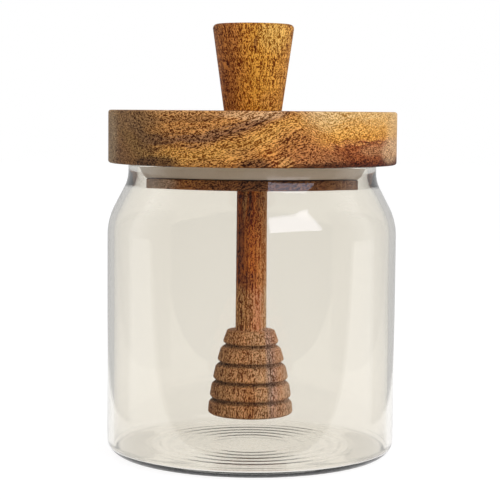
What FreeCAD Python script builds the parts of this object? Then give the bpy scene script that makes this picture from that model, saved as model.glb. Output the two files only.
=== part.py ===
import FreeCAD, Part
import math
import os

# A glass honey pot with a turned wooden lid, its silicone seal, a wooden knob
# and a honey dipper that hangs from the lid into the pot.
# Millimetres. The origin is the centre of the pot's foot, and +Z is up.

# Pot: blown glass, straight sided, with a drawn-in shoulder and a straight neck
body_radius = 49.7
pot_height = 100.0
body_wall = 2.2
base_thickness = 2.6
base_round = 5.0              # outside, where the side turns into the foot
base_round_inside = 3.0
neck_radius = 42.6
neck_wall = 2.9
neck_length = 5.6             # from the rim down to where the shoulder starts
shoulder_slope = 27.4         # degrees between the shoulder and the pot's axis
neck_blend = 6.0
shoulder_round = 21.5
rim_round = 0.9
ripple_count = 5              # soft rings left in the floor by the mould
ripple_inner_radius = 13.0
ripple_pitch = 4.8
ripple_height = 0.1

# Lid: one turned piece, a disc with a plug below it that has a groove for the seal
lid_set_in = 0.2              # how far its edge lies inside the pot's side
lid_thickness = 18.0
lid_edge_round = 0.9
flange_clearance = 3.3        # from the plug's flange to the neck
flange_thickness = 3.9
flange_edge_round = 0.4
groove_height = 4.1
groove_depth = 2.4            # into the plug, from the flange's edge

# Seal: a silicone ring in the groove, whose lip spreads to meet the neck
seal_foot_set_in = 0.3        # behind the flange's edge
seal_lip_height = 0.7
seal_foot_round = 0.5
seal_fit = 0.1                # gap to the groove's core and to the neck

# Knob: a plain taper, wider at the top, on a tenon
knob_foot_radius = 9.95
knob_top_radius = 14.1
knob_height = 29.5
knob_top_round = 1.5
knob_foot_round = 0.3
knob_tenon_radius = 4.0
knob_tenon_length = 8.0

# Dipper: rod and ringed head turned in one piece
rod_radius = 5.2              # where it enters the plug
rod_swell = 0.15              # how much thicker it is where it meets the head
rod_in_plug = 10.0
rod_end_chamfer = 0.6
head_clearance = 10.7         # from the pot's floor up to the head
ring_count = 5
ring_height = 4.05
notch_width = 2.2             # the V groove between two rings
notch_depth = 1.5
notch_drop = 1.0              # from a ring's lower edge down to the bottom of the V
head_top_radius = 8.2
head_middle_radius = 12.6
head_bottom_radius = 14.8
ring_edge_round = 0.3
head_bottom_round = 1.0

# Both tenons are glued into blind holes
tenon_fit = 0.1               # gap round a tenon


def tangent_arc(before, corner, after, radius):
    """The arc that rounds a corner, with the two points where it leaves the straight lines."""
    to_before = (before - corner).normalize()
    to_after = (after - corner).normalize()
    half_angle = to_before.getAngle(to_after) / 2
    run = radius / math.tan(half_angle)
    start = corner + to_before * run
    end = corner + to_after * run
    inward = (to_before + to_after).normalize()
    middle = corner + inward * (radius / math.sin(half_angle) - radius)
    return Part.Arc(start, middle, end).toShape(), start, end


def turned(corners):
    """A solid turned about the Z axis. Each corner is (radius, height) or (radius, height, round)."""
    points = [FreeCAD.Vector(c[0], 0, c[1]) for c in corners]
    rounds = [c[2] if len(c) == 3 else 0 for c in corners]
    edges = []
    first_start = last_end = None
    for i, corner in enumerate(points):
        start = end = corner
        arc = None
        if rounds[i]:
            following = points[(i + 1) % len(points)]
            arc, start, end = tangent_arc(points[i - 1], corner, following, rounds[i])
        if last_end is None:
            first_start = start
        elif last_end.distanceToPoint(start) > 1e-6:
            edges.append(Part.makeLine(last_end, start))
        if arc:
            edges.append(arc)
        last_end = end
    edges.append(Part.makeLine(last_end, first_start))
    face = Part.Face(Part.Wire(edges))
    return face.revolve(FreeCAD.Vector(0, 0, 0), FreeCAD.Vector(0, 0, 1), 360)


# Levels and radii that several pieces share
neck_inner_radius = neck_radius - neck_wall
lid_radius = body_radius - lid_set_in
flange_radius = neck_inner_radius - flange_clearance
groove_core_radius = flange_radius - groove_depth
groove_bottom = pot_height - groove_height
plug_bottom = groove_bottom - flange_thickness
head_bottom = base_thickness + head_clearance
head_height = ring_count * ring_height + (ring_count - 1) * notch_width
head_top = head_bottom + head_height
lid_top = pot_height + lid_thickness


def pot_outside():
    """Corners of the outer surface, from the foot up to the rim."""
    shoulder_top = pot_height - neck_length
    rise = (body_radius - neck_radius) / math.tan(math.radians(shoulder_slope))
    return [
        (0, 0),
        (body_radius, 0, base_round),
        (body_radius, shoulder_top - rise, shoulder_round),
        (neck_radius, shoulder_top, neck_blend),
        (neck_radius, pot_height, rim_round),
    ]


def pot_inside():
    """Corners of the inner surface, from the rim down to the floor."""
    slope = math.radians(shoulder_slope)
    inner_radius = body_radius - body_wall
    outer_corner = pot_outside()[2][1]
    shoulder_bottom = outer_corner - body_wall * math.tan(slope / 2)
    shoulder_top = shoulder_bottom + (inner_radius - neck_inner_radius) / math.tan(slope)
    return [
        (neck_inner_radius, pot_height, rim_round),
        (neck_inner_radius, shoulder_top, neck_blend + body_wall),
        (inner_radius, shoulder_bottom, shoulder_round - body_wall),
        (inner_radius, base_thickness, base_round_inside),
        (0, base_thickness),
    ]


def floor_ripple(radius):
    """One low ring on the pot's floor, round in section."""
    half = ripple_pitch / 2
    left = FreeCAD.Vector(radius - half, 0, base_thickness)
    crest = FreeCAD.Vector(radius, 0, base_thickness + ripple_height)
    right = FreeCAD.Vector(radius + half, 0, base_thickness)
    bump = Part.Wire([Part.Arc(left, crest, right).toShape(), Part.makeLine(right, left)])
    return Part.Face(bump).revolve(FreeCAD.Vector(0, 0, 0), FreeCAD.Vector(0, 0, 1), 360)


def make_pot():
    ripples = [floor_ripple(ripple_inner_radius + ripple_pitch * (i + 0.5)) for i in range(ripple_count)]
    return turned(pot_outside() + pot_inside()).fuse(ripples).removeSplitter()


def make_lid():
    rod_hole = rod_radius + tenon_fit
    knob_hole = knob_tenon_radius + tenon_fit
    return turned([
        (0, plug_bottom + rod_in_plug),
        (rod_hole, plug_bottom + rod_in_plug),
        (rod_hole, plug_bottom),
        (flange_radius, plug_bottom, flange_edge_round),
        (flange_radius, groove_bottom, flange_edge_round),
        (groove_core_radius, groove_bottom),
        (groove_core_radius, pot_height),
        (lid_radius, pot_height, lid_edge_round),
        (lid_radius, lid_top, lid_edge_round),
        (knob_hole, lid_top),
        (knob_hole, lid_top - knob_tenon_length),
        (0, lid_top - knob_tenon_length),
    ])


def make_seal():
    bore = groove_core_radius + seal_fit
    foot_radius = flange_radius - seal_foot_set_in
    lip_radius = neck_inner_radius - seal_fit
    return turned([
        (bore, groove_bottom),
        (foot_radius, groove_bottom, seal_foot_round),
        (lip_radius, pot_height - seal_lip_height),
        (lip_radius, pot_height),
        (bore, pot_height),
    ])


def make_knob():
    return turned([
        (0, lid_top - knob_tenon_length),
        (knob_tenon_radius, lid_top - knob_tenon_length),
        (knob_tenon_radius, lid_top),
        (knob_foot_radius, lid_top, knob_foot_round),
        (knob_top_radius, lid_top + knob_height, knob_top_round),
        (0, lid_top + knob_height),
    ])


def head_radius(height):
    """The head's beehive outline: a parabola through its radii at the top, middle and bottom."""
    straight = head_top_radius + (head_bottom_radius - head_top_radius) * (head_top - height) / head_height
    rise = head_middle_radius - (head_top_radius + head_bottom_radius) / 2
    from_middle = (height - head_bottom) / (head_height / 2) - 1
    return straight + rise * (1 - from_middle ** 2)


def head_rings():
    """Corners of the ringed head, from the top ring down to the bottom one."""
    corners = []
    for i in range(ring_count):
        top = head_top - i * (ring_height + notch_width)
        bottom = top - ring_height
        corners.append((head_radius(top), top, ring_edge_round))
        if i == ring_count - 1:
            corners.append((head_radius(bottom), bottom, head_bottom_round))
        else:
            notch = bottom - notch_drop
            corners.append((head_radius(bottom), bottom, ring_edge_round))
            corners.append((head_radius(notch) - notch_depth, notch))
    return corners


def make_dipper():
    rod_end = plug_bottom + rod_in_plug
    rod = [
        (0, rod_end),
        (rod_radius - rod_end_chamfer, rod_end),
        (rod_radius, rod_end - rod_end_chamfer),
        (rod_radius, plug_bottom),
        (rod_radius + rod_swell, head_top),
    ]
    return turned(rod + head_rings() + [(0, head_bottom)])


pieces = {
    "pot": make_pot(),
    "lid": make_lid(),
    "seal": make_seal(),
    "knob": make_knob(),
    "dipper": make_dipper(),
}

os.makedirs("parts", exist_ok=True)
for name, shape in pieces.items():
    solid = shape.Solids[0]
    solid.exportStep("parts/" + name + ".step")
    print(name, "solids", len(shape.Solids), "valid", solid.isValid(), "volume", round(solid.Volume))
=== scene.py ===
import math

import bpy
from mathutils import Matrix, Vector


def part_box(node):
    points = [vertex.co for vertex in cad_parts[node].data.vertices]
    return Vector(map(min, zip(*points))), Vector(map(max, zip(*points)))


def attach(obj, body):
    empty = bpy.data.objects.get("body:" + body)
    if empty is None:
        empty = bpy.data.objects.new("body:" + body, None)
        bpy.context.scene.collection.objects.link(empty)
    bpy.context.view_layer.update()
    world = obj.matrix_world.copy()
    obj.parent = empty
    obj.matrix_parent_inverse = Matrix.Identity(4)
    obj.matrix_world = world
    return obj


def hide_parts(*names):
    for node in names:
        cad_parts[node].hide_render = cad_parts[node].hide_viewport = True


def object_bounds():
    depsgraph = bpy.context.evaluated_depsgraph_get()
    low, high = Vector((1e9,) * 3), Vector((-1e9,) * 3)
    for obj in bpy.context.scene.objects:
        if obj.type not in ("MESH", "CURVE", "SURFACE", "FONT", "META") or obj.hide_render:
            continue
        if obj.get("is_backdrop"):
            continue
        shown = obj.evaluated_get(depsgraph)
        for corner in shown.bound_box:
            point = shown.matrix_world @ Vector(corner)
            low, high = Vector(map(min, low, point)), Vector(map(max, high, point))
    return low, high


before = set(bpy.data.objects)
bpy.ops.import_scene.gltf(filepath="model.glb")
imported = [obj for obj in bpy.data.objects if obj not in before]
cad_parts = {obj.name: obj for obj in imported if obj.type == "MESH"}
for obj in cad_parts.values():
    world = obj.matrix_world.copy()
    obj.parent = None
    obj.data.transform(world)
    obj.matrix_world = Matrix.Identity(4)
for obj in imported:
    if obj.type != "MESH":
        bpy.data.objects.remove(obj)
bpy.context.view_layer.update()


# ---- Pot ----------------------------------------------------------------------------------------
# Soda-lime glass blown into a mould: straight sides, a shoulder drawn in to a straight neck, and a
# rim melted round. The mould leaves soft rings in the floor. It stands on its flat foot.

scene = bpy.context.scene
mm = 0.001


def add(tree, kind, inputs={}, stops=(), **settings):
    """Adds one node. An input gets a value, a socket, or a node whose first live output feeds it."""
    node = tree.nodes.new(kind)
    for name, value in settings.items():
        setattr(node, name, value)
    if kind == "ShaderNodeValToRGB":
        bands = node.color_ramp.elements
        bands[0].position, bands[-1].position = stops[0][0], stops[-1][0]
        bands[0].color, bands[-1].color = linear(stops[0][1]), linear(stops[-1][1])
        for place, colour in stops[1:-1]:
            bands.new(place).color = linear(colour)
    elif kind == "ShaderNodeFloatCurve":
        curve = node.mapping.curves[0]
        for place, height in stops[1:-1]:
            curve.points.new(place, height)
        curve.points[0].location, curve.points[-1].location = stops[0], stops[-1]
        node.mapping.update()
    live = [socket for socket in node.inputs if socket.enabled]
    for name, value in inputs.items():
        socket = live[name] if isinstance(name, int) else next(s for s in live if s.name == name)
        if isinstance(value, bpy.types.Node):
            value = next(s for s in value.outputs if s.enabled)
        if isinstance(value, bpy.types.NodeSocket):
            tree.links.new(value, socket)
        else:
            socket.default_value = value
    return node


def linear(colour):
    """Linear RGBA from a hex sRGB colour."""
    parts = [int(colour[i:i + 2], 16) / 255 for i in (1, 3, 5)]
    return [c / 12.92 if c <= 0.04045 else ((c + 0.055) / 1.055) ** 2.4 for c in parts] + [1]


def calc(tree, operation, *values):
    """Adds one arithmetic node."""
    return add(tree, "ShaderNodeMath", dict(enumerate(values)), operation=operation)


def new_tree(name, sockets):
    """An empty Geometry Nodes tree whose named inputs are given as name: socket type."""
    tree = bpy.data.node_groups.new(name, "GeometryNodeTree")
    for socket, kind in sockets.items():
        tree.interface.new_socket(socket, in_out="INPUT", socket_type="NodeSocket" + kind)
    tree.interface.new_socket("Geometry", in_out="OUTPUT", socket_type="NodeSocketGeometry")
    return tree, tree.nodes.new("NodeGroupInput").outputs


def new_material(name):
    """An empty material with its output node."""
    material = bpy.data.materials.new(name)
    material.use_nodes = True
    tree = material.node_tree
    tree.nodes.clear()
    return material, tree, tree.nodes.new("ShaderNodeOutputMaterial")


def rounded(corners, longest=2.5 * mm):
    """Points along a profile of corners (radius, height, rounding), none further apart than longest."""
    points = []
    per_step, fewest = math.radians(2.5), 5
    for i, (r, z, *rounding) in enumerate(corners):
        here = Vector((r, z))
        if rounding:
            before, after = (Vector(corners[i + k][:2]) - here for k in (-1, 1))
            before.normalize()
            after.normalize()
            half = before.angle(after) / 2
            centre = here + (before + after).normalized() * rounding[0] / math.sin(half)
            start = here + before * rounding[0] / math.tan(half) - centre
            sweep = math.copysign(math.pi - 2 * half, before.x * after.y - before.y * after.x)
            steps = max(fewest, math.ceil(abs(sweep) / per_step))
            arc = [centre + Matrix.Rotation(-sweep * k / steps, 2) @ start for k in range(steps + 1)]
        else:
            arc = [here]
        if points:
            gap = arc[0] - points[-1]
            pieces = max(1, math.ceil(gap.length / longest))
            points += [points[-1] + gap * k / pieces for k in range(1, pieces)]
        points += arc
    return points


def make(name, profile, tree, sizes):
    """The piece that a tree makes of a profile, as a plain mesh that holds its own place."""
    line = bpy.data.meshes.new(name + "_profile")
    line.from_pydata([(r, 0, z) for r, z in profile], [(i, i + 1) for i in range(len(profile) - 1)], [])
    piece = bpy.data.objects.new(name, line)
    scene.collection.objects.link(piece)
    form = piece.modifiers.new("Form", "NODES")
    form.node_group = tree
    names = {s.name: s.identifier for s in tree.interface.items_tree if s.in_out == "INPUT"}
    for key, value in sizes.items():
        form[names[key]] = value
    made = bpy.data.meshes.new_from_object(piece.evaluated_get(bpy.context.evaluated_depsgraph_get()))
    piece.modifiers.remove(form)
    piece.data = made
    made.name = name
    bpy.data.meshes.remove(line)
    return piece


# Turns a profile about the upright axis. Unevenness is how far the surface wanders inwards, as it
# does on hot glass, and Spread is the size of one such hollow. Turned and moulded pieces have none.
merging = 0.001 * mm  # closes the seam and the poles
turning, given = new_tree("Turned about the axis", {
    "Profile": "Geometry", "Segments": "Int", "Unevenness": "Float", "Spread": "Float", "Seed": "Float",
    "Material": "Material"})
counted = add(turning, "GeometryNodeAttributeDomainSize", {"Geometry": given["Profile"]})
rows = counted.outputs["Point Count"]
around = calc(turning, "ADD", given["Segments"], 1.0)
grid = add(turning, "GeometryNodeMeshGrid", {"Vertices X": around, "Vertices Y": rows})
index = add(turning, "GeometryNodeInputIndex")
row = calc(turning, "MODULO", index, rows)
middle = calc(turning, "ADD", index, 0.5)
column = calc(turning, "DIVIDE", middle, rows)
column = calc(turning, "FLOOR", column)
share = calc(turning, "DIVIDE", column, given["Segments"])
angle = calc(turning, "MULTIPLY", share, 2 * math.pi)
place = add(turning, "GeometryNodeSampleIndex", {
    "Geometry": given["Profile"], "Value": add(turning, "GeometryNodeInputPosition"), "Index": row},
    data_type="FLOAT_VECTOR")
place = add(turning, "ShaderNodeVectorRotate", {"Vector": place, "Angle": angle}, rotation_type="Z_AXIS")
form = add(turning, "GeometryNodeSetPosition", {"Geometry": grid, "Position": place})
form = add(turning, "GeometryNodeMergeByDistance", {"Geometry": form, "Distance": merging})
per_hollow = calc(turning, "DIVIDE", 1.0, given["Spread"])
hollow = add(turning, "ShaderNodeTexNoise", {
    "Vector": add(turning, "GeometryNodeInputPosition"), "W": given["Seed"], "Scale": per_hollow,
    "Detail": 0.0}, noise_dimensions="4D")
depth = calc(turning, "MULTIPLY", hollow, given["Unevenness"])
inwards = calc(turning, "MULTIPLY", depth, -1.0)
offset = add(turning, "ShaderNodeVectorMath", {
    0: add(turning, "GeometryNodeInputNormal"), "Scale": inwards}, operation="SCALE")
form = add(turning, "GeometryNodeSetPosition", {"Geometry": form, "Offset": offset})
form = add(turning, "GeometryNodeSetShadeSmooth", {"Geometry": form})
form = add(turning, "GeometryNodeRealizeInstances", {"Geometry": form})
form = add(turning, "GeometryNodeSetMaterial", {"Geometry": form, "Material": given["Material"]})
add(turning, "NodeGroupOutput", {"Geometry": form})

# The pot's own rule: rings in its floor, each a low arch one pitch wide, before it is turned.
blowing, given = new_tree("Blown pot with a ringed floor", {
    "Profile": "Geometry", "Rings": "Int", "First Ring": "Float", "Pitch": "Float", "Height": "Float",
    "Floor": "Float", "Segments": "Int", "Unevenness": "Float", "Spread": "Float", "Seed": "Float",
    "Material": "Material"})
place = add(blowing, "ShaderNodeSeparateXYZ", {0: add(blowing, "GeometryNodeInputPosition")})
out = calc(blowing, "SUBTRACT", place.outputs["X"], given["First Ring"])
rings = calc(blowing, "DIVIDE", out, given["Pitch"])
arch = calc(blowing, "PINGPONG", rings, 0.5)
arch = add(blowing, "ShaderNodeMapRange", {"Value": arch, "From Max": 0.5},
           interpolation_type="SMOOTHSTEP")
first = calc(blowing, "GREATER_THAN", rings, 0.0)
last = calc(blowing, "LESS_THAN", rings, given["Rings"])
level = calc(blowing, "COMPARE", place.outputs["Z"], given["Floor"], 0.01 * mm)
for part in (first, last, level, given["Height"]):
    arch = calc(blowing, "MULTIPLY", arch, part)
rise = add(blowing, "ShaderNodeCombineXYZ", {"Z": arch})
form = add(blowing, "GeometryNodeSetPosition", {"Geometry": given["Profile"], "Offset": rise})
passed_on = "Segments", "Unevenness", "Spread", "Seed", "Material"
form = add(blowing, "GeometryNodeGroup", {
    "Profile": form, **{key: given[key] for key in passed_on}}, node_tree=turning)
form = add(blowing, "GeometryNodeRealizeInstances", {"Geometry": form})
form = add(blowing, "GeometryNodeSetMaterial", {"Geometry": form, "Material": given["Material"]})
add(blowing, "NodeGroupOutput", {"Geometry": form})

# Soda-lime glass, blown and fire-polished: nearly clear, with a faint warm cast. The lamps' light
# passes straight through it to what hangs inside.
glass, tree, output = new_material("Soda-lime glass, blown")
body_glass = add(tree, "ShaderNodeBsdfPrincipled", {
    "Base Color": linear("#f4f1ea"), "Roughness": 0.0, "IOR": 1.5, "Transmission Weight": 1.0})
to_lamps = add(tree, "ShaderNodeBsdfTransparent", {"Color": linear("#f6f4f0")})
path = add(tree, "ShaderNodeLightPath")
through = add(tree, "ShaderNodeMixShader", {
    0: path.outputs["Is Shadow Ray"], 1: body_glass, 2: to_lamps})
tree.links.new(through.outputs[0], output.inputs["Surface"])

low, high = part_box("pot")
body_radius = min(-low.x, high.x, -low.y, high.y)
pot_height = high.z
body_wall, base_thickness = 2.2 * mm, 2.6 * mm
# Three shapes differ a little from the CAD's, as light in glass shows them plainly: the neck's blend is
# 12 mm for 6, the floor's round 1.2 mm for 3, and the floor's rings are 0.06 mm high for 0.1.
base_round, floor_round, rim_round = 5 * mm, 1.2 * mm, 0.9 * mm
neck_radius, neck_wall, neck_length, neck_blend = 42.6 * mm, 2.9 * mm, 5.6 * mm, 12 * mm
shoulder_round = 21.5 * mm
ring_count, first_ring, ring_pitch, ring_rise = 5, 13 * mm, 4.8 * mm, 0.06 * mm
slope = math.radians(27.4)  # between the shoulder and the upright axis
inner_radius, neck_inside = body_radius - body_wall, neck_radius - neck_wall
shoulder_top = pot_height - neck_length
shoulder_low = shoulder_top - (body_radius - neck_radius) / math.tan(slope)
inner_low = shoulder_low - body_wall * math.tan(slope / 2)
inner_top = inner_low + (inner_radius - neck_inside) / math.tan(slope)
floor_step, floor_steps = 0.4 * mm, 105  # close enough together to draw the rings
floor_line = [(floor_step * k, base_thickness) for k in range(floor_steps, -1, -1)]
pot_profile = rounded([
    (0, low.z), (body_radius, low.z, base_round),
    (body_radius, shoulder_low, shoulder_round), (neck_radius, shoulder_top, neck_blend),
    (neck_radius, pot_height, rim_round), (neck_inside, pot_height, rim_round),
    (neck_inside, inner_top, neck_blend + body_wall),
    (inner_radius, inner_low, shoulder_round - body_wall),
    (inner_radius, base_thickness, floor_round)] + floor_line)
pot = make("Pot", pot_profile, blowing, {
    "Rings": ring_count, "First Ring": first_ring, "Pitch": ring_pitch, "Height": ring_rise,
    "Floor": base_thickness, "Segments": 256, "Unevenness": 0.04 * mm, "Spread": 26 * mm, "Seed": 3.0,
    "Material": glass})
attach(pot, "root")
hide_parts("pot")


# ---- Lid ----------------------------------------------------------------------------------------
# One piece of acacia turned on a lathe: a thick disc with a plug below it that drops into the neck,
# and a groove round the plug for the seal. It rests on the pot's rim.

# Fibres and open pores of acacia, for a point in millimetres whose first axis runs along the grain:
# long strands 0.6 mm wide, pores 0.25 mm wide and 2 mm long, and flecks as wide and 0.6 mm long.
fibres = bpy.data.node_groups.new("Acacia fibres and pores", "ShaderNodeTree")
fibres.interface.new_socket("Along Grain", in_out="INPUT", socket_type="NodeSocketVector")
fibres.interface.new_socket("Shade", in_out="OUTPUT", socket_type="NodeSocketFloat")
along = fibres.nodes.new("NodeGroupInput").outputs[0]
strands = add(fibres, "ShaderNodeTexNoise", {
    "Vector": add(fibres, "ShaderNodeMapping", {"Vector": along, "Scale": (0.05, 1.7, 1.7)}),
    "Scale": 1.0, "Detail": 2.0, "Roughness": 0.7})
pores = add(fibres, "ShaderNodeTexNoise", {
    "Vector": add(fibres, "ShaderNodeMapping", {"Vector": along, "Scale": (0.5, 4.0, 4.0)}),
    "Scale": 1.0, "Detail": 0.0})
flecks = add(fibres, "ShaderNodeTexNoise", {
    "Vector": add(fibres, "ShaderNodeMapping", {"Vector": along, "Scale": (1.7, 4.0, 4.0)}),
    "Scale": 1.0, "Detail": 0.0})
shade = calc(fibres, "MULTIPLY_ADD", strands, 1.3, pores)
shade = calc(fibres, "MULTIPLY_ADD", flecks, 1.3, shade)
shade = add(fibres, "ShaderNodeMapRange", {"Value": shade, "From Min": 1.69, "From Max": 1.91})
add(fibres, "NodeGroupOutput", {0: shade})


def wandering(tree, stretch, scale, detail, reach):
    """Object coordinates in millimetres: as they are, pushed about by soft noise, and those in parts."""
    point = add(tree, "ShaderNodeVectorMath", {
        0: add(tree, "ShaderNodeTexCoord").outputs["Object"], "Scale": 1 / mm}, operation="SCALE")
    noise = add(tree, "ShaderNodeTexNoise", {
        "Vector": add(tree, "ShaderNodeMapping", {"Vector": point, "Scale": stretch}),
        "Scale": scale, "Detail": detail}).outputs["Color"]
    drift = add(tree, "ShaderNodeVectorMath", {0: noise, 1: (0.5, 0.5, 0.5)}, operation="SUBTRACT")
    drift = add(tree, "ShaderNodeVectorMath", {0: drift, 1: reach}, operation="MULTIPLY")
    warped = add(tree, "ShaderNodeVectorMath", {0: point, 1: drift}, operation="ADD")
    return point, warped, add(tree, "ShaderNodeSeparateXYZ", {0: warped})


def tinted(tree, share, colour, tint):
    """Adds the node that mixes a share of another colour in."""
    if isinstance(tint, str):
        tint = linear(tint)
    return add(tree, "ShaderNodeMix", {"Factor": share, "A": colour, "B": tint}, data_type="RGBA")


def clouded(tree, colour, point, clouds, core=0.5):
    """Lays clouds of another colour over one. Each is its centre, reach, colour and strength."""
    for centre, reach, tint, strength in clouds:
        away = add(tree, "ShaderNodeVectorMath", {0: point, 1: centre}, operation="SUBTRACT")
        away = add(tree, "ShaderNodeVectorMath", {0: away, 1: reach}, operation="DIVIDE")
        away = add(tree, "ShaderNodeVectorMath", {0: away}, operation="LENGTH")
        cloud = add(tree, "ShaderNodeMapRange", {
            "Value": away.outputs["Value"], "From Min": 1.25, "From Max": core, "To Max": strength},
            interpolation_type="SMOOTHSTEP")
        colour = tinted(tree, cloud, colour, tint)
    return colour


def oiled(tree, output, colour, shade):
    """Oiled, turned acacia: its dark fibres are deep and red, and its pores are rough and sunk."""
    depth = add(tree, "ShaderNodeMapRange", {
        "Value": shade, "From Max": 0.75, "To Min": 1.7, "To Max": 0.86})
    colour = add(tree, "ShaderNodeGamma", {"Color": colour, "Gamma": depth})
    gleam = add(tree, "ShaderNodeMapRange", {"Value": shade, "To Min": 0.45, "To Max": 1.55})
    # the gleam stops where red, the strongest part of the colour, would pass 0.9, so the hue stays
    parts = add(tree, "ShaderNodeSeparateXYZ", {0: colour})
    most = calc(tree, "DIVIDE", 0.9, parts.outputs["X"])
    gleam = calc(tree, "MINIMUM", gleam, most)
    colour = add(tree, "ShaderNodeVectorMath", {0: colour, "Scale": gleam}, operation="SCALE")
    roughness = add(tree, "ShaderNodeMapRange", {"Value": shade, "To Min": 0.62, "To Max": 0.44})
    relief = add(tree, "ShaderNodeBump", {"Height": shade, "Strength": 0.35, "Distance": 0.05 * mm})
    wood = add(tree, "ShaderNodeBsdfPrincipled", {
        "Base Color": colour, "Roughness": roughness, "Normal": relief, "Specular IOR Level": 0.12})
    tree.links.new(wood.outputs[0], output.inputs["Surface"])


# Acacia, long grain, turned and oiled: gold and brown layers that bend up over the middle, a dark
# streak along them on the left, and a red-brown band low on the right.
lid_wood, tree, output = new_material("Acacia, long grain, turned and oiled")
point, warped, at = wandering(tree, stretch=(1, 1, 1), scale=0.09, detail=3, reach=(5, 5, 3))
across = add(tree, "ShaderNodeMapRange", {"Value": at.outputs["X"], "From Min": -50.0, "From Max": 50.0})
# how far the layers have risen, from the left edge to the right one, as a share of 25 mm
left_rise = add(tree, "ShaderNodeFloatCurve", {"Value": across}, stops=[
    (0, 0.85), (0.08, 0.45), (0.13, 0.22), (0.17, 0.1), (0.25, 0.1), (0.34, 0.12), (0.4, 0.175),
    (0.45, 0.245), (0.5, 0.325), (0.55, 0.4), (0.67, 0.59), (1, 0.9)])
right_rise = add(tree, "ShaderNodeFloatCurve", {"Value": across}, stops=[
    (0, 0.0), (0.5, 0.0), (0.61, 0.04), (0.72, 0.21), (0.8, 0.29), (0.92, 0.32), (1, 0.32)])
left_rise = calc(tree, "MULTIPLY_ADD", left_rise, -25.0, at.outputs["Z"])
right_rise = calc(tree, "MULTIPLY_ADD", right_rise, -25.0, at.outputs["Z"])
# behind the front the layers run on through the board at a slant, and fold back every 15 mm
slant = add(tree, "ShaderNodeVectorMath", {0: warped, 1: (0.12, 0.55, 1.0)}, operation="DOT_PRODUCT")
slant = calc(tree, "PINGPONG", slant.outputs["Value"], 15.0)
slant = calc(tree, "ADD", slant, 97.0)
behind = add(tree, "ShaderNodeMapRange", {
    "Value": at.outputs["Y"], "From Min": -16.0, "From Max": 20.0}, interpolation_type="SMOOTHSTEP")
layer = add(tree, "ShaderNodeMix", {"Factor": behind, "A": left_rise, "B": slant}, data_type="FLOAT")
# the right side's layers start at a border that leans left as it rises and right as it goes back
edge = calc(tree, "MULTIPLY_ADD", at.outputs["Z"], 0.55, at.outputs["X"])
edge = calc(tree, "MULTIPLY_ADD", at.outputs["Y"], -0.35, edge)
right_side = add(tree, "ShaderNodeMapRange", {
    "Value": edge, "From Min": 93.5, "From Max": 103.0}, interpolation_type="SMOOTHSTEP")
not_behind = calc(tree, "SUBTRACT", 1.0, behind)
right_side = calc(tree, "MULTIPLY", right_side, not_behind)
flow = add(tree, "ShaderNodeMix", {"Factor": right_side, "A": layer, "B": right_rise}, data_type="FLOAT")
flow = add(tree, "ShaderNodeCombineXYZ", {"X": at.outputs["X"], "Y": flow, "Z": at.outputs["Y"]})
# the layers' borders run out into one another in fine lines
lines = add(tree, "ShaderNodeTexNoise", {
    "Vector": add(tree, "ShaderNodeMapping", {"Vector": flow, "Scale": (0.07, 1.1, 0.2)}),
    "Scale": 1.0, "Detail": 3.0})
lines = calc(tree, "MULTIPLY_ADD", lines, 6.0, -3.0)
layer = calc(tree, "ADD", layer, lines)
right_rise = calc(tree, "ADD", right_rise, lines)
left_place = add(tree, "ShaderNodeMapRange", {"Value": layer, "From Min": 83.5, "From Max": 115.5})
left_colour = add(tree, "ShaderNodeValToRGB", {"Fac": left_place}, stops=[
    (0.0, "#8a5630"), (0.2, "#b06c36"), (0.35, "#c68038"), (0.5, "#d09444"), (0.58, "#cc9040"),
    (0.64, "#b47838"), (0.69, "#865632"), (0.735, "#8a5c38"), (0.76, "#aa7038"), (0.84, "#c48440"),
    (0.9, "#9c6634"), (0.95, "#ba8044"), (1.0, "#ca9458")])
right_place = add(tree, "ShaderNodeMapRange", {"Value": right_rise, "From Min": 90.0, "From Max": 114.0})
right_colour = add(tree, "ShaderNodeValToRGB", {"Fac": right_place}, stops=[
    (0.0, "#441808"), (0.16, "#541c06"), (0.22, "#88441a"), (0.33, "#86441c"), (0.38, "#a05624"),
    (0.405, "#6a2406"), (0.43, "#ba783a"), (0.5, "#cc8c34"), (0.62, "#e2a64c"), (0.8, "#ecc078"),
    (1.0, "#eecb94")])
colour = tinted(tree, right_side, left_colour, right_colour)
colour = clouded(tree, colour, warped, [
    # these two darken and grey the lid's left end: partly the board's colour, partly painted shade
    ((-45, -30, 107), (18, 40, 16), "#70502e", 0.8),
    ((-42, -30, 115), (12, 40, 4), "#90683e", 0.6),
    ((-31, -38, 101), (10, 16, 2.8), "#46291a", 0.85),
    ((0, -49, 100.5), (6, 12, 3), "#56341f", 0.75),
    ((14, -47, 107), (8, 20, 6), "#8e5428", 0.6),
    ((24, -43, 100), (15, 20, 2), "#401604", 0.85),
    ((-4, -49, 105), (5, 10, 2.2), "#8a5428", 0.5),
    ((-14, -46, 101), (9, 12, 2.4), "#8c5a2c", 0.5),
    ((10, -48, 102), (3, 12, 2), "#bf8a48", 0.6),
    # painted highlight: a pale band along the front of the lid's top edge, under the knob
    ((0, -49, 117.2), (11, 12, 2.2), "#e0b07a", 0.65),
    ((48, -12, 112), (4, 30, 8), "#ecc88e", 0.45),
    ((46.5, -18, 105), (5, 20, 4.2), "#d0a878", 0.7),
    ((39, -30, 105.5), (5, 12, 2.2), "#b07c4c", 0.5),
    ((-49, -8, 109), (5, 24, 14), "#a68a64", 0.6),
    ((-31, -19, 94), (9, 14, 3), "#d0b090", 0.8),
    ((31, -19, 94), (9, 14, 3), "#a06c3c", 0.7),
    ((0, -36, 94), (22, 14, 3), "#5c3419", 0.55)])
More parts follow.
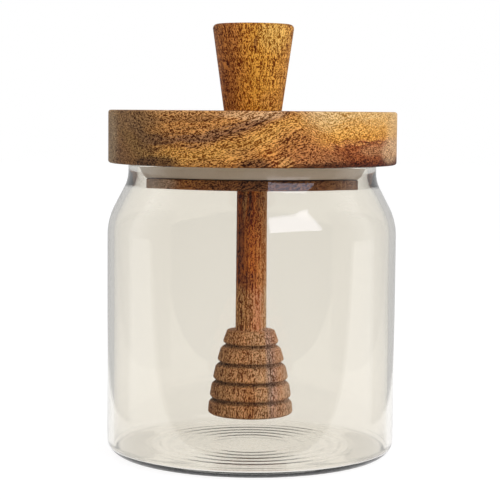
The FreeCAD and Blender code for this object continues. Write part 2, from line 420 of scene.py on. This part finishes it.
# painted shade: the flange's upper edge is darkened in a thin band where the seal's foot meets it, for
# the shadow in the gap between them
height = add(tree, "ShaderNodeSeparateXYZ", {0: point})
gap_shade_height = 95.75
painted_gap_shade = calc(tree, "SUBTRACT", height.outputs["Z"], gap_shade_height)
painted_gap_shade = calc(tree, "ABSOLUTE", painted_gap_shade)
painted_gap_shade = add(tree, "ShaderNodeMapRange", {"Value": painted_gap_shade, "From Min": 0.5, "From Max": 0.2, "To Max": 0.85})
colour = tinted(tree, painted_gap_shade, colour, "#24170e")
grain = add(tree, "ShaderNodeGroup", {"Along Grain": flow}, node_tree=fibres)
oiled(tree, output, colour, grain)

low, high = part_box("lid")
lid_radius = min(-low.x, high.x, -low.y, high.y)
plug_bottom, lid_top = low.z, high.z
groove_height, groove_depth, flange_clearance = 4.1 * mm, 2.4 * mm, 3.3 * mm
flange_round, lid_round = 0.4 * mm, 0.9 * mm
groove_bottom = pot_height - groove_height
flange_radius = neck_inside - flange_clearance
groove_core = flange_radius - groove_depth
rod_hole, rod_depth = 5.3 * mm, 10 * mm
knob_hole, knob_depth = 4.1 * mm, 8 * mm
lid_profile = rounded([
    (0, plug_bottom + rod_depth), (rod_hole, plug_bottom + rod_depth), (rod_hole, plug_bottom),
    (flange_radius, plug_bottom, flange_round), (flange_radius, groove_bottom, flange_round),
    (groove_core, groove_bottom), (groove_core, pot_height),
    (lid_radius, pot_height, lid_round), (lid_radius, lid_top, lid_round),
    (knob_hole, lid_top), (knob_hole, lid_top - knob_depth), (0, lid_top - knob_depth)])
lid = make("Lid", lid_profile, turning, {
    "Segments": 256, "Unevenness": 0.0, "Spread": 10 * mm, "Seed": 1.0, "Material": lid_wood})
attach(lid, "root")
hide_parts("lid")


# ---- Seal ---------------------------------------------------------------------------------------
# A soft ring of silicone stretched over the plug into its groove. Its lip spreads against the inside
# of the neck and keeps the pot closed.

# Milky silicone, moulded: a pale cream, faintly mottled, with a skin between matt and glossy.
silicone, tree, output = new_material("Silicone, moulded, milky")
point = add(tree, "ShaderNodeTexCoord").outputs["Object"]
mottle = add(tree, "ShaderNodeTexNoise", {"Vector": point, "Scale": 0.2 / mm, "Detail": 3.0})
milk = add(tree, "ShaderNodeValToRGB", {"Fac": mottle}, stops=[(0.3, "#f4e0c8"), (0.7, "#fdebd8")])
skin = add(tree, "ShaderNodeMapRange", {"Value": mottle, "To Min": 0.42, "To Max": 0.56})
rubber = add(tree, "ShaderNodeBsdfPrincipled", {"Base Color": milk, "Roughness": skin, "IOR": 1.41})
tree.links.new(rubber.outputs[0], output.inputs["Surface"])

seal_fit = 0.1 * mm  # to the groove's core and to the neck
foot_set_in, foot_round, lip_height = 0.3 * mm, 0.5 * mm, 0.7 * mm
seal_bore, seal_lip = groove_core + seal_fit, neck_inside - seal_fit
seal_foot = flange_radius - foot_set_in
seal_profile = rounded([
    (seal_bore, groove_bottom), (seal_foot, groove_bottom, foot_round),
    (seal_lip, pot_height - lip_height), (seal_lip, pot_height), (seal_bore, pot_height),
    (seal_bore, groove_bottom)], 1 * mm)
seal = make("Seal", seal_profile, turning, {
    "Segments": 256, "Unevenness": 0.0, "Spread": 10 * mm, "Seed": 2.0, "Material": silicone})
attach(seal, "root")
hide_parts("seal")


# ---- Knob ---------------------------------------------------------------------------------------
# A plain tapered knob turned from acacia, wider at the top so that fingers can lift it. A tenon under
# it is glued into a blind hole in the lid.

# Acacia with upright grain, turned and oiled: a dark red-brown side on the left, an orange middle and
# gold high on the right, partly the wood's colour and partly painted shade and light as if lit from the
# right, with faint rings left by the turning tool.
knob_wood, tree, output = new_material("Acacia, upright grain, turned and oiled")
point, warped, at = wandering(tree, stretch=(1, 1, 0.3), scale=0.3, detail=3, reach=(5, 5, 5))
bands = add(tree, "ShaderNodeVectorMath", {0: warped, 1: (1.0, 0.25, 0.02)}, operation="DOT_PRODUCT")
place = add(tree, "ShaderNodeMapRange", {
    "Value": bands.outputs["Value"], "From Min": -16.0, "From Max": 11.0})
colour = add(tree, "ShaderNodeValToRGB", {"Fac": place}, stops=[
    (0.0, "#b07c4a"), (0.1, "#9e6430"), (0.25, "#a86428"), (0.36, "#b87230"), (0.46, "#ca8630"),
    (0.6, "#d09030"), (0.8, "#c4882e"), (1.0, "#b87e30")])
# the first cloud and the last are partly painted light and shade: gold high on the right, darker on the
# left
colour = clouded(tree, colour, warped, [
    ((7, -11, 143), (6, 12, 6), "#dcaa50", 0.85),
    ((0.5, -13.5, 140.5), (0.8, 4, 3.4), "#8a5028", 0.6),
    ((6, -10, 121), (6, 10, 3.5), "#cf9040", 0.5),
    ((-7, -8, 127), (4, 10, 12), "#6c381a", 0.2)], core=0.4)
flow = add(tree, "ShaderNodeCombineXYZ", {
    "X": at.outputs["Z"], "Y": at.outputs["X"], "Z": at.outputs["Y"]})
grain = add(tree, "ShaderNodeGroup", {"Along Grain": flow}, node_tree=fibres)
height = add(tree, "ShaderNodeSeparateXYZ", {0: point})
tool_rings = add(tree, "ShaderNodeTexNoise", {"W": height.outputs["Z"], "Scale": 0.9, "Detail": 2.0},
                 noise_dimensions="1D")
tool_rings = add(tree, "ShaderNodeMapRange", {
    "Value": tool_rings, "From Min": 0.35, "From Max": 0.65, "To Min": 0.7, "To Max": 1.15})
grain = calc(tree, "MULTIPLY", grain, tool_rings)
oiled(tree, output, colour, grain)

low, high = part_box("knob")
knob_top_round, knob_foot_round = 1.5 * mm, 0.3 * mm
lost_to_round = 0.24 * mm  # what the round takes off the widest radius
knob_top = min(-low.x, high.x, -low.y, high.y) + lost_to_round
knob_foot, knob_tenon = 9.95 * mm, 4 * mm
knob_profile = rounded([
    (0, lid_top - knob_depth), (knob_tenon, lid_top - knob_depth), (knob_tenon, lid_top),
    (knob_foot, lid_top, knob_foot_round), (knob_top, high.z, knob_top_round), (0, high.z)], 1 * mm)
knob = make("Knob", knob_profile, turning, {
    "Segments": 160, "Unevenness": 0.0, "Spread": 8 * mm, "Seed": 4.0, "Material": knob_wood})
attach(knob, "root")
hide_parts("knob")


# ---- Dipper -------------------------------------------------------------------------------------
# A honey dipper turned from one stick of acacia: a plain rod, glued into a blind hole in the plug,
# and a beehive head cut into five rings that hold the honey.

# The head's rule: its outline is a parabola through three radii, and V grooves part its rings. It
# moves the profile's points that are drawn wider than the head's top.
ringing, given = new_tree("Ringed dipper head", {
    "Profile": "Geometry", "Top": "Float", "Height": "Float", "Ring Height": "Float",
    "Notch Width": "Float", "Notch Depth": "Float", "Notch Drop": "Float", "Top Radius": "Float",
    "Middle Radius": "Float", "Bottom Radius": "Float", "Edge": "Float", "Bottom Edge": "Float",
    "Segments": "Int", "Unevenness": "Float", "Spread": "Float", "Seed": "Float",
    "Material": "Material"})
place = add(ringing, "ShaderNodeSeparateXYZ", {0: add(ringing, "GeometryNodeInputPosition")})
down = calc(ringing, "SUBTRACT", given["Top"], place.outputs["Z"])
share = calc(ringing, "DIVIDE", down, given["Height"])
straight = add(ringing, "ShaderNodeMix", {
    "Factor": share, "A": given["Top Radius"], "B": given["Bottom Radius"]}, data_type="FLOAT")
mean = add(ringing, "ShaderNodeMix", {
    "Factor": 0.5, "A": given["Top Radius"], "B": given["Bottom Radius"]}, data_type="FLOAT")
swell = calc(ringing, "SUBTRACT", given["Middle Radius"], mean)
centred = calc(ringing, "MULTIPLY_ADD", share, 2.0, -1.0)
centred = calc(ringing, "POWER", centred, 2.0)
centred = calc(ringing, "SUBTRACT", 1.0, centred)
outline = calc(ringing, "MULTIPLY_ADD", swell, centred, straight)
pitch = calc(ringing, "ADD", given["Ring Height"], given["Notch Width"])
within = calc(ringing, "MODULO", down, pitch)
valley = calc(ringing, "ADD", given["Ring Height"], given["Notch Drop"])
falling = add(ringing, "ShaderNodeMapRange", {
    "Value": within, "From Min": given["Ring Height"], "From Max": valley,
    "To Max": given["Notch Depth"]})
rising = add(ringing, "ShaderNodeMapRange", {
    "Value": within, "From Min": pitch, "From Max": valley, "To Max": given["Notch Depth"]})
notch = calc(ringing, "MINIMUM", falling, rising)
to_bottom = calc(ringing, "SUBTRACT", given["Ring Height"], within)
to_edge = calc(ringing, "MINIMUM", within, to_bottom)
to_edge = calc(ringing, "MAXIMUM", to_edge, 0.0)
above = calc(ringing, "SUBTRACT", given["Height"], down)
cut = notch
round_power = 2.2  # a power of 1 would cut the edges straight, and higher ones round them
for distance, rounding in ((to_edge, given["Edge"]), (above, given["Bottom Edge"])):
    inset = add(ringing, "ShaderNodeMapRange", {
        "Value": distance, "From Max": rounding, "To Min": 1.0, "To Max": 0.0})
    inset = calc(ringing, "POWER", inset, round_power)
    inset = calc(ringing, "MULTIPLY", inset, rounding)
    cut = calc(ringing, "MAXIMUM", cut, inset)
radius = calc(ringing, "SUBTRACT", outline, cut)
radius = add(ringing, "ShaderNodeCombineXYZ", {"X": radius, "Z": place.outputs["Z"]})
on_head = calc(ringing, "GREATER_THAN", place.outputs["X"], given["Top Radius"])
form = add(ringing, "GeometryNodeSetPosition", {
    "Geometry": given["Profile"], "Selection": on_head, "Position": radius})
form = add(ringing, "GeometryNodeGroup", {
    "Profile": form, **{key: given[key] for key in passed_on}}, node_tree=turning)
form = add(ringing, "GeometryNodeRealizeInstances", {"Geometry": form})
form = add(ringing, "GeometryNodeSetMaterial", {"Geometry": form, "Material": given["Material"]})
add(ringing, "NodeGroupOutput", {"Geometry": form})

rod_radius, rod_foot = 5.2 * mm, 5.35 * mm
head_rings, ring_height = 5, 4.05 * mm
edge_round, bottom_round = 0.3 * mm, 1.0 * mm
notch_width, notch_depth, notch_drop = 2.2 * mm, 1.5 * mm, 1.0 * mm
head_top_radius, head_middle_radius, head_bottom_radius = 8.2 * mm, 12.6 * mm, 14.8 * mm
head_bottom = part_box("dipper")[0].z
head_height = head_rings * ring_height + (head_rings - 1) * notch_width
head_top = head_bottom + head_height
rod_end = plug_bottom + rod_depth

# Acacia, upright grain, turned and oiled: stripes of red-brown and gold down the rod, paler towards its
# foot, and a greyer brown head with an orange heart and one grey vein. Rod and head grow paler towards
# their right side, partly the stick's colour and partly painted light from the right.
dipper_wood, tree, output = new_material("Acacia stick, turned and oiled")
point, warped, at = wandering(tree, stretch=(1, 1, 0.22), scale=0.35, detail=2, reach=(2.4, 2.4, 4))
# across the stick from left to right: the ramps on it pale towards the right, partly the stick's colour
# and partly painted light
bands = add(tree, "ShaderNodeVectorMath", {0: warped, 1: (1.0, 0.2, 0.0)}, operation="DOT_PRODUCT")
rod_place = add(tree, "ShaderNodeMapRange", {
    "Value": bands.outputs["Value"], "From Min": -6.4, "From Max": 4.6})
rod_colour = add(tree, "ShaderNodeValToRGB", {"Fac": rod_place}, stops=[
    (0.0, "#8c3c0c"), (0.25, "#904612"), (0.36, "#ac5c1e"), (0.5, "#be6420"), (0.66, "#c8722c"),
    (0.8, "#de9048"), (1.0, "#f4b678")])
foot_colour = add(tree, "ShaderNodeValToRGB", {"Fac": rod_place}, stops=[
    (0, "#bc844e"), (0.25, "#c48a50"), (0.5, "#ce8e58"), (0.7, "#ec9e6c"), (0.85, "#fabc86"),
    (1.0, "#ffd8a8")])
foot = add(tree, "ShaderNodeMapRange", {
    "Value": at.outputs["Z"], "From Min": 60.0, "From Max": 54.0}, interpolation_type="SMOOTHSTEP")
colour = tinted(tree, foot, rod_colour, foot_colour)
head_place = add(tree, "ShaderNodeMapRange", {
    "Value": bands.outputs["Value"], "From Min": -17.0, "From Max": 12.0})
head_colour = add(tree, "ShaderNodeValToRGB", {"Fac": head_place}, stops=[
    (0.0, "#a4683a"), (0.2, "#b48050"), (0.45, "#c68c58"), (0.55, "#c69464"), (0.68, "#dca876"),
    (0.74, "#cea48c"), (0.8, "#d4a486"), (0.88, "#fcc496"), (1.0, "#ffd6b2")])
head = add(tree, "ShaderNodeMapRange", {
    "Value": at.outputs["Z"], "From Min": 43.5, "From Max": 42.0}, interpolation_type="SMOOTHSTEP")
colour = tinted(tree, head, colour, head_colour)
colour = clouded(tree, colour, warped, [
    ((-2.5, -4, 88), (0.7, 3, 9), "#a47440", 0.8),
    ((-0.6, -5, 88), (0.8, 3, 9), "#602a14", 0.9),
    ((3.2, -4, 88), (1.5, 3, 5.5), "#74401f", 0.4),
    ((-3.4, -3, 72), (1.6, 3, 10), "#6c361c", 0.6),
    ((0, -5, 60.5), (5, 5, 2.4), "#8a4c28", 0.5),
    ((0.0, -13, 19), (2.4, 6, 8), "#b4743c", 0.7),
    ((6.4, -9, 26), (1.3, 6, 16), "#94826c", 0.4),
    ((8, -11, 15.5), (7, 8, 3), "#a07450", 0.5)])
flow = add(tree, "ShaderNodeCombineXYZ", {
    "X": at.outputs["Z"], "Y": at.outputs["X"], "Z": at.outputs["Y"]})
grain = add(tree, "ShaderNodeGroup", {"Along Grain": flow}, node_tree=fibres)
# straight stripes run the length of the rod
stripes = add(tree, "ShaderNodeTexNoise", {
    "Vector": add(tree, "ShaderNodeMapping", {"Vector": point, "Scale": (1.5, 1.5, 0.02)}),
    "Scale": 1.0, "Detail": 1.0})
stripes = add(tree, "ShaderNodeMapRange", {
    "Value": stripes, "From Min": 0.3, "From Max": 0.7, "To Min": -0.4, "To Max": 0.4})
on_rod = calc(tree, "MULTIPLY_ADD", head, -0.75, 1.0)
grain = add(tree, "ShaderNodeMath", {
    0: stripes, 1: on_rod, 2: grain}, operation="MULTIPLY_ADD", use_clamp=True)
# painted shade: the bottoms of the head's grooves are darkened, for the shade that falls in them
height = add(tree, "ShaderNodeSeparateXYZ", {0: point})
below_top = calc(tree, "SUBTRACT", head_top / mm, height.outputs["Z"])
in_ring = calc(tree, "FLOORED_MODULO", below_top, (ring_height + notch_width) / mm)
painted_groove_shade = calc(tree, "SUBTRACT", in_ring, (ring_height + notch_drop) / mm)
painted_groove_shade = calc(tree, "ABSOLUTE", painted_groove_shade)
painted_groove_shade = add(tree, "ShaderNodeMapRange", {
    "Value": painted_groove_shade, "From Min": 1.1, "From Max": 0.3, "To Max": 0.6}, interpolation_type="SMOOTHSTEP")
painted_groove_shade = calc(tree, "MULTIPLY", painted_groove_shade, head)
colour = tinted(tree, painted_groove_shade, colour, "#3c2414")
oiled(tree, output, colour, grain)

head_steps, rod_chamfer = 260, 0.6 * mm
dipper_profile = rounded([
    (0, rod_end), (rod_radius - rod_chamfer, rod_end), (rod_radius, rod_end - rod_chamfer),
    (rod_radius, plug_bottom), (rod_foot, head_top)], 3 * mm)
dipper_profile += [
    (head_bottom_radius, head_top - head_height * k / head_steps) for k in range(head_steps + 1)]
dipper_profile += [(0, head_bottom)]
dipper_profile.reverse()  # from the foot up, so that the faces point outwards
dipper = make("Dipper", dipper_profile, ringing, {
    "Top": head_top, "Height": head_height, "Ring Height": ring_height, "Notch Width": notch_width,
    "Notch Depth": notch_depth, "Notch Drop": notch_drop, "Top Radius": head_top_radius,
    "Middle Radius": head_middle_radius, "Bottom Radius": head_bottom_radius, "Edge": edge_round,
    "Bottom Edge": bottom_round, "Segments": 144, "Unevenness": 0.0, "Spread": 6 * mm, "Seed": 5.0,
    "Material": dipper_wood})
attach(dipper, "root")
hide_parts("dipper")


# ---- Floor and backdrop -------------------------------------------------------------------------
# A sheet of matt white paper on a table, which keeps the pot's shadow, in a plain white room. The
# paper ends in front of the pot. Neither is part of the object.

# White paper, matt: white to the eye, looked at straight or through glass, and dimmer where it lights
# the object, so that it throws little light up under the lid.
paper, tree, output = new_material("White paper, matt")
sheet = add(tree, "ShaderNodeBsdfDiffuse", {"Color": linear("#969696")})
path = add(tree, "ShaderNodeLightPath")
glassy = calc(tree, "MAXIMUM", path.outputs["Is Transmission Ray"], path.outputs["Is Glossy Ray"])
unscattered = calc(tree, "LESS_THAN", path.outputs["Diffuse Depth"], 0.5)
glassy = calc(tree, "MULTIPLY", glassy, unscattered)
looked_at = calc(tree, "MAXIMUM", path.outputs["Is Camera Ray"], glassy)
seen = add(tree, "ShaderNodeMapRange", {"Value": looked_at, "To Min": 0.25, "To Max": 0.82})
lift = add(tree, "ShaderNodeEmission", {"Strength": seen})
laid = add(tree, "ShaderNodeAddShader", {0: sheet, 1: lift})
tree.links.new(laid.outputs[0], output.inputs["Surface"])
floor_mesh = bpy.data.meshes.new("Floor")
half, front_edge, under = 3.0, -0.08, -0.3 * mm  # just under the pot's foot
floor_mesh.from_pydata([
    (-half, front_edge, under), (half, front_edge, under), (half, half, under), (-half, half, under)],
    [], [(0, 1, 2, 3)])
floor_mesh.materials.append(paper)
floor = bpy.data.objects.new("Floor", floor_mesh)
scene.collection.objects.link(floor)
floor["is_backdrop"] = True

# Grey card: it stands on both sides, where the edges of the glass mirror it and show as lines. Only
# what is mirrored shows it.
card, tree, output = new_material("Grey card, matt")
path = add(tree, "ShaderNodeLightPath")
mirrored = calc(tree, "GREATER_THAN", path.outputs["Glossy Depth"], 0.5)
clear = add(tree, "ShaderNodeBsdfTransparent")
face = add(tree, "ShaderNodeEmission", {"Strength": 0.65})
shown = add(tree, "ShaderNodeMixShader", {0: mirrored, 1: clear, 2: face})
tree.links.new(shown.outputs[0], output.inputs["Surface"])
card_width, card_height = 0.8, 0.5
for name, side in (("Left card", -0.11), ("Right card", 0.11)):
    card_mesh = bpy.data.meshes.new(name)
    card_mesh.from_pydata([
        (side, 0, 0), (side, card_width, 0), (side, card_width, card_height), (side, 0, card_height)],
        [], [(0, 1, 2, 3)])
    card_mesh.materials.append(card)
    stood = bpy.data.objects.new(name, card_mesh)
    scene.collection.objects.link(stood)
    stood.visible_camera = stood.visible_diffuse = stood.visible_shadow = False
    stood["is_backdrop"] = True

# The room is white where the eye looks at it, straight or through glass, and dimmer where it lights
# the object. What the glass mirrors is the white backdrop behind and the unlit part in front.
room = bpy.data.worlds.new("Studio")
scene.world = room
room.use_nodes = True
tree = room.node_tree
tree.nodes.clear()
path = add(tree, "ShaderNodeLightPath")
towards = add(tree, "ShaderNodeSeparateXYZ", {0: add(tree, "ShaderNodeTexCoord").outputs["Generated"]})
unlit_front = add(tree, "ShaderNodeMapRange", {
    "Value": towards.outputs["Y"], "From Min": -0.3, "From Max": 0.4, "To Min": 0.1, "To Max": 1.0},
    interpolation_type="SMOOTHSTEP")
mirrored = calc(tree, "GREATER_THAN", path.outputs["Glossy Depth"], 0.5)
shown = add(tree, "ShaderNodeMix", {"Factor": mirrored, "A": 1.0, "B": unlit_front}, data_type="FLOAT")
unscattered = calc(tree, "LESS_THAN", path.outputs["Diffuse Depth"], 0.5)
strength = add(tree, "ShaderNodeMix", {"Factor": unscattered, "A": 0.6, "B": shown}, data_type="FLOAT")
light = add(tree, "ShaderNodeBackground", {"Color": (1, 1, 1, 1), "Strength": strength})
add(tree, "ShaderNodeOutputWorld", {"Surface": light})


# ---- Lamps and camera ---------------------------------------------------------------------------
# A window-like soft box high on the right in front, whose reflection shows on the shoulder, and a
# large dim one on the right. The camera stands level with the lid's top and looks slightly down.

for name, place, facing, width, depth, radiance, colour in (
        ("Window", (0.497, -0.693, 0.662), (-0.604, 0.793, 0.075), 0.66, 0.62, 3.3, "#ecebff"),
        ("Right soft box", (0.95, -0.1, 0.35), (-0.95, 0.1, -0.25), 0.9, 0.9, 1.5, "#ffffff")):
    lamp = bpy.data.lights.new(name, "AREA")
    lamp.shape = "RECTANGLE"
    lamp.size, lamp.size_y = width, depth
    lamp.energy = radiance * math.pi * width * depth
    lamp.color = linear(colour)[:3]
    stand = bpy.data.objects.new(name, lamp)
    stand.location = place
    stand.rotation_euler = Vector(facing).to_track_quat("-Z", "Y").to_euler()
    # only the window is mirrored, or seen through the glass
    stand.visible_glossy = stand.visible_transmission = name == "Window"
    scene.collection.objects.link(stand)

lens = bpy.data.cameras.new("Camera")
lens.sensor_width, lens.lens = 36, 120.7
lens.clip_start, lens.clip_end = 0.05, 20
camera = bpy.data.objects.new("Camera", lens)
stands_at = -0.00055, -0.578, 0.11895
looks_down, roll = math.radians(4.84), math.radians(0.5)
turn = Matrix.Rotation(math.radians(90) - looks_down, 4, "X") @ Matrix.Rotation(roll, 4, "Z")
camera.matrix_world = Matrix.Translation(stands_at) @ turn
scene.collection.objects.link(camera)
scene.camera = camera
scene.view_settings.view_transform = "Standard"

low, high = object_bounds()
